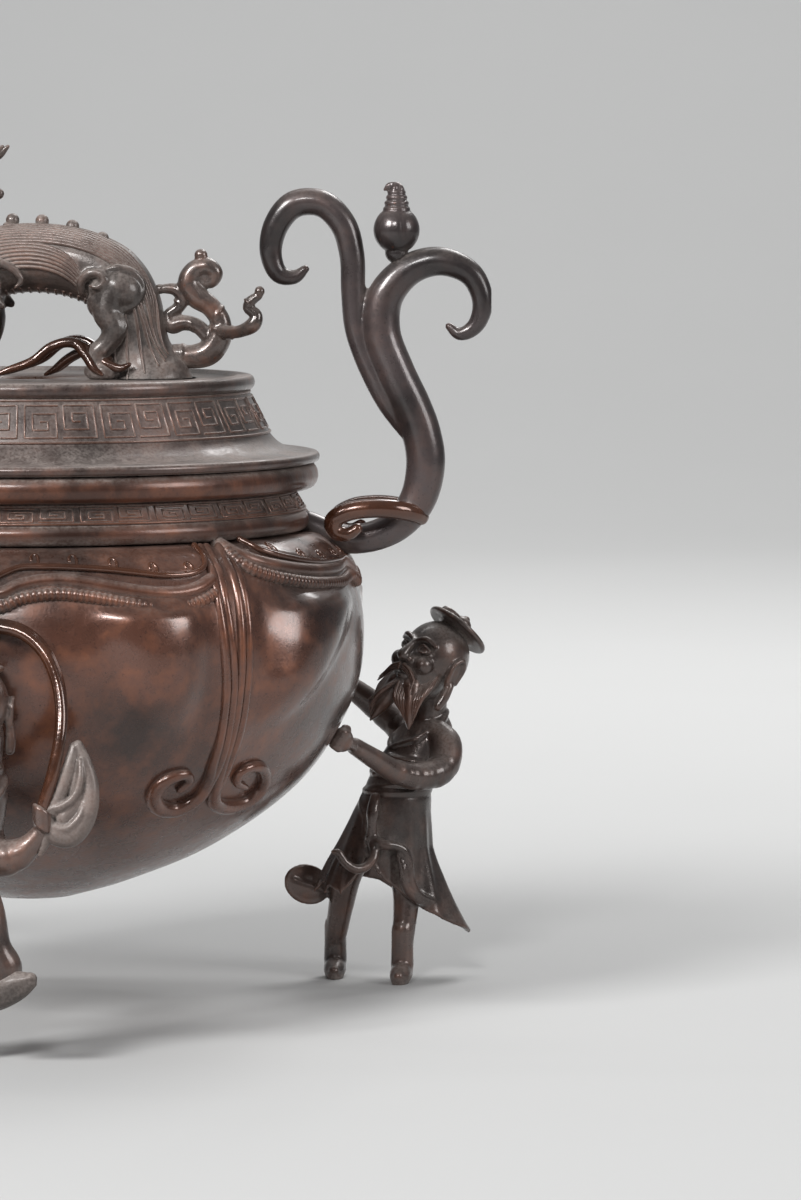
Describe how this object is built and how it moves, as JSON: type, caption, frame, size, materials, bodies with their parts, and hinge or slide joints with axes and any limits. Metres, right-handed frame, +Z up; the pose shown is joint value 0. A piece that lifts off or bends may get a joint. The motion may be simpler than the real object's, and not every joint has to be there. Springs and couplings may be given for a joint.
{
  "type": "incense burner",
  "caption": "Round bronze incense burner on standing figures, with scroll handles, fret bands and a lift-off lid topped by an arched dragon.",
  "frame": {"origin": "centre of the small flat pad under the bowl, 50 mm above the surface that the soles stand on", "axes": "+Z up, +X towards the right handle, the front figure towards -Y"},
  "size_m": [0.415, 0.3419, 0.3972],
  "materials": {
    "bowl_bronze": "warm copper-brown patina, satin, worn bright on raised edges",
    "neck_bronze": "dark brown patina with grey dust in the ground of the fret band",
    "handle_bronze": "grey-brown satin patina, worn reddish on the inner edges",
    "figure_bronze": "dark brown patina, dusty in the folds",
    "scarf_bronze": "polished reddish-brown patina",
    "lid_bronze": "dark brown patina with grey dust on upward faces",
    "dragon_bronze": "grey-brown dusty patina, darker in the cut hair",
    "rivet_bronze": "plain brown bronze"
  },
  "bodies": {
    "burner": {"bowl": "bowl_bronze", "neck": "neck_bronze", "handle_right": "handle_bronze", "handle_left": "handle_bronze", "gourd_right": "handle_bronze", "gourd_left": "handle_bronze", "handle_rivet_right": "rivet_bronze", "handle_rivet_left": "rivet_bronze", "figure_right": "figure_bronze", "figure_left": "figure_bronze", "figure_front": "figure_bronze", "hat_right": "figure_bronze", "hat_left": "figure_bronze", "hat_front": "figure_bronze", "scarf": "scarf_bronze", "near_hand_rivet_right": "rivet_bronze", "far_hand_rivet_right": "rivet_bronze", "near_hand_rivet_left": "rivet_bronze", "far_hand_rivet_left": "rivet_bronze", "back_rivet": "rivet_bronze"},
    "lid": {"lid": "lid_bronze", "dragon_body": "dragon_bronze", "dragon_head": "dragon_bronze", "dragon_tail": "dragon_bronze", "foot_rivet_hind_near": "rivet_bronze", "foot_rivet_fore_near": "rivet_bronze", "foot_rivet_hind_far": "rivet_bronze", "foot_rivet_fore_far": "rivet_bronze"}
  },
  "joints": [
    {"name": "lid_lift", "type": "slide", "parent": "burner", "child": "lid", "axis": [0, 0, 1], "range_m": [0, 0.06]}
  ]
}
